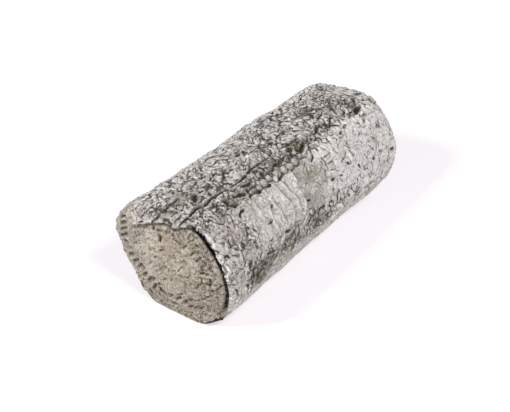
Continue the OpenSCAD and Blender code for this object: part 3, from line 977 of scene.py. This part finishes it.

# %% [markdown]
# ## The rind
#
# Ash, rind and bloom lie on one scale from near black to off-white, so a colour ramp is read by
# how pale a place is. Rims of wrinkles, the lips of the fingers and the tops of the knobs get
# painted highlights, with painted shade in the valleys and just past each lip, and the painted
# raking light makes one side of every wrinkle lighter. Furrows, slits and the rings round the
# knobs are holes, which stay dark.

# %% Paint the rind
def paint_rind():
    """The rind's colour, and its height for the bump."""
    rough, reach = read("rough"), read("finger_reach")
    edge, knob = read("finger_edge"), read("knob")
    frayed = noise(1.5, 2.0) * 1.5
    fold_a, fold_b = read("fold_a") + frayed, read("fold_b") + frayed

    patchy = (noise(2.2, 1.0) * 8.0 + 0.40).clamp()
    cracks = fold_a.hump(0.28) * 0.6 + fold_b.hump(0.34) * 0.7
    pits = fold_a.hump(0.45) * fold_b.hump(0.45)
    specks = ((noise(1.5, 1.0) - 0.11) * 11).clamp() * (1 - reach)
    cracks = (cracks * patchy + pits) * rough + specks * (rough * 0.5 + 0.35) * (1 - cheese_here)
    knob_gap = (knob - 1.25).hump(0.20) * ((1.5 - knob) * 4).clamp()
    hole = cracks.most(slit).most(knob_gap * 0.8)
    hole = (hole + hole * powder * 1.2).clamp()

    # painted shade towards the bottom of each valley, which also lowers the bump
    valley_shade_and_depth = fold_b.hump(0.75) * 0.6 + fold_a.hump(0.7) * 0.4
    # painted highlights along the rims of the wrinkles
    rim_highlights = (abs(fold_a) - 0.62).hump(0.28) * 0.6 + (abs(fold_b) - 0.68).hump(0.30) * 0.6
    # a painted highlight along the lip of each finger, and painted shade just past it
    lip, shade_below_lip = (edge + 0.30).hump(0.42) * reach, (edge - 0.85).hump(0.80) * reach
    # the knobs' tops, raised in the bump and given a painted highlight
    knobs = (1.05 - knob).clamp()
    tone = read("pale") + powder * 0.65 + dust * 0.35 - crinkle * 0.12
    # painted shade in the valleys, and the painted raking light on one side of every wrinkle
    tone = tone - (valley_shade_and_depth - 0.4) * rough * 0.22 + painted_raking_light_here * (0.46 - reach * 0.30)
    # painted highlights on wrinkle rims, groove shoulders, finger lips and knob tops, and painted
    # shade just past each lip
    tone = tone + rim_highlights * rough * 0.42 + shoulder_highlight * 0.16
    tone = tone + lip * 0.40 - shade_below_lip * 0.20 + (knobs * 4).clamp() * 0.16
    rind = paint.add("ShaderNodeValToRGB", {"stops": (
        (0.00, (0.060, 0.052, 0.045)),
        (0.25, (0.160, 0.141, 0.124)),
        (0.50, (0.345, 0.307, 0.283)),
        (0.75, (0.585, 0.542, 0.512)),
        (1.00, (0.840, 0.805, 0.780)),
    )}, {"Fac": tone.clamp()})
    pink = (tint_here + noise(3.0) * 1.2).clamp()
    olive = (noise(3.5) * 0.8 - tint_here).clamp()
    rind = (pink * 0.26).mix(rind, linear(0.42, 0.335, 0.320))
    rind = (olive * 0.55).mix(rind, linear(0.235, 0.210, 0.125))
    rind = (hole * 0.92).mix(rind, linear(0.050, 0.043, 0.036))
    height = (edge * -2.5).clamp() * reach * 0.6 + knobs * 0.8 - valley_shade_and_depth * rough * 0.7 - hole * 1.1
    return rind, height


rind, rind_height = paint_rind()
print(len(finish.node_tree.nodes), "nodes with the rind")

# %% [markdown]
# ## The cheese
#
# Torn curd has its own scale, from brown in its pits to cream on its crumbs. Faint patches lean to
# olive and to rose, as drying cheese does. The pits redden where the tint is pink.

# %% Paint the cheese
def paint_curd():
    """The cheese's colour, and its height for the bump."""
    crumbly = read("crumbly")
    lines = (1 - abs(noise(1.9, 2.0, 0.6)) * 15).clamp()
    crumbs = noise(1.15, 1.0)
    crumb_pits = ((crumbs - 0.07) * 9).clamp() * crumbly
    # painted highlights on the rims of the crumbs, which also rise in the bump
    crumb_rim_height_and_highlight = (crumbs + 0.02).hump(0.05) * crumbly
    # painted highlights beside the marks and on the crumb rims, and the painted raking light
    tone = 0.68 + noise(1.0, 3.0, 0.7) * 2.4 + noise(6.0) * 0.5 - lines * 0.24 + shoulder_highlight * 0.3
    tone = tone + crumb_rim_height_and_highlight * 0.34 - crumb_pits * 0.45 + painted_raking_light_here * 0.5
    tone = tone + read("pale_rim") * 0.52
    curd = paint.add("ShaderNodeValToRGB", {"stops": (
        (0.00, (0.150, 0.110, 0.075)),
        (0.30, (0.300, 0.245, 0.180)),
        (0.60, (0.430, 0.370, 0.295)),
        (1.00, (0.640, 0.585, 0.500)),
    )}, {"Fac": tone.clamp()})
    curd = ((noise(5.0, 1.0) * 2.5).clamp() * 0.6).mix(curd, linear(0.345, 0.335, 0.240))
    curd = ((noise(4.0, 1.0) * 3.0).clamp() * 0.4).mix(curd, linear(0.480, 0.370, 0.300))
    brown, reddish = linear(0.110, 0.072, 0.046), linear(0.190, 0.085, 0.058)
    pit_color = (tint_here * 1.4 - 0.4).clamp().mix(brown, reddish)
    curd = (slit * (0.80 + powder * 1.5)).clamp().mix(curd, pit_color)
    return curd, crumb_rim_height_and_highlight * 0.6 - crumb_pits


curd, curd_height = paint_curd()
print(len(finish.node_tree.nodes), "nodes with the cheese")

# %% [markdown]
# ## Joining them
#
# Cheese lies over rind with a powdery border, and near-black painted shade in the gap and painted
# shadow under the rim's foot are laid over both.
# Everything is dry and rough, the cheese a little less so, so the finish needs bump rather than
# gloss.

# %% Join the finish
BUMP_DISTANCE = 0.0009     # metres
border = (cheese_here + dust * cheese_here * (1 - cheese_here) * 2.0).clamp()
# near-black painted shade in the gap and painted shadow under the rim's foot
painted_gap_shade = (read("gap") * (1.25 + noise(1.8, 1.0) * 2.2)).clamp()
base_color = painted_gap_shade.mix(border.mix(rind, curd), linear(0.022, 0.018, 0.015))
height = powder + dust * 0.4 - crinkle * (0.3 - cheese_here * 0.2)
height = height + rind_height + curd_height * cheese_here
bump = paint.add("ShaderNodeBump", None,
                 {"Strength": 1.0, "Distance": BUMP_DISTANCE, "Height": height}, "Normal")

shader = finish.node_tree.nodes["Principled BSDF"]
shader.inputs["Specular IOR Level"].default_value = 0.25
joined = {"Base Color": base_color, "Roughness": 0.93 - cheese_here * 0.18, "Normal": bump}
for name, wire in joined.items():
    finish.node_tree.links.new(wire.socket, shader.inputs[name])
print(len(finish.node_tree.nodes), "nodes in the finish")

# %% [markdown]
# ## The skin as a piece
#
# The skin takes the finish, rides on the frame's one body and stands in for its plain solid. Its
# slot lets a user of the log change the rind's finish without touching its form.

# %% The skin as a piece
skin_mesh.materials.append(finish)
skin_mesh.shade_smooth()
skin = bpy.data.objects.new("log_skin", skin_mesh)
bpy.context.collection.objects.link(skin)
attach(skin, "root")
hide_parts("cheese_log")
print("skin made")

# %% [markdown]
# ## Floor
#
# The floor is a pale sheet that also gives off some light, like the top of a lit table, which
# keeps it near white with only faint shadows. It lies a hair under the log, so that the two never
# share a plane.

# %% Floor
FLOOR_SIZE = 6.0
FLOOR_DROP = 0.00005
FLOOR_COLOR = linear(0.58, 0.56, 0.58)
FLOOR_GLOW_COLOR = linear(1.0, 0.97, 1.0)
FLOOR_GLOW = 0.49


def make_floor():
    half, level = FLOOR_SIZE / 2, low[2] - FLOOR_DROP
    corners = [(x * half, y * half, level) for x, y in ((-1, -1), (1, -1), (1, 1), (-1, 1))]
    mesh = bpy.data.meshes.new("floor")
    mesh.from_pydata(corners, [], [(0, 1, 2, 3)])
    material = bpy.data.materials.new("pale_floor")
    material.use_nodes = True
    shader = material.node_tree.nodes["Principled BSDF"]
    shader.inputs["Base Color"].default_value = FLOOR_COLOR
    shader.inputs["Roughness"].default_value = 0.9
    shader.inputs["Specular IOR Level"].default_value = 0.1
    shader.inputs["Emission Color"].default_value = FLOOR_GLOW_COLOR
    shader.inputs["Emission Strength"].default_value = FLOOR_GLOW
    mesh.materials.append(material)
    floor = bpy.data.objects.new("floor", mesh)
    bpy.context.collection.objects.link(floor)


make_floor()
print("floor", FLOOR_SIZE, "m wide")

# %% [markdown]
# ## Light
#
# A white sky stands for the walls of a light tent. Two soft lamps, one on each side of the
# camera and rather high, model the wrinkles from both sides, so neither throws a plain shadow.

# %% Light
SKY_STRENGTH = 0.34
LAMPS = (                # name, azimuth, elevation, distance m, size m, power W
    ("left", -118, 42, 1.2, 0.26, 8.2),
    ("right", -12, 52, 1.2, 0.40, 8.0),
)


def make_light():
    world = bpy.data.worlds.new("tent")
    world.use_nodes = True
    sky = world.node_tree.nodes["Background"]
    sky.inputs["Color"].default_value = linear(1.0, 1.0, 1.0)
    sky.inputs["Strength"].default_value = SKY_STRENGTH
    bpy.context.scene.world = world
    for name, azimuth, elevation, distance, size, power in LAMPS:
        data = bpy.data.lights.new(name, "AREA")
        data.shape, data.size, data.energy = "DISK", size, power
        lamp = bpy.data.objects.new(name, data)
        lamp.location = distance * away(azimuth, elevation)
        lamp.rotation_euler = (-lamp.location).to_track_quat("-Z", "Y").to_euler()
        bpy.context.collection.objects.link(lamp)


make_light()
bpy.context.scene.view_settings.view_transform = "Standard"
print(len(LAMPS), "lamps")

# %% [markdown]
# ## Sizes
#
# The box of the construction and the box of the carved skin are printed where each is made,
# and the skin stays within about a millimetre of the solid it covers.
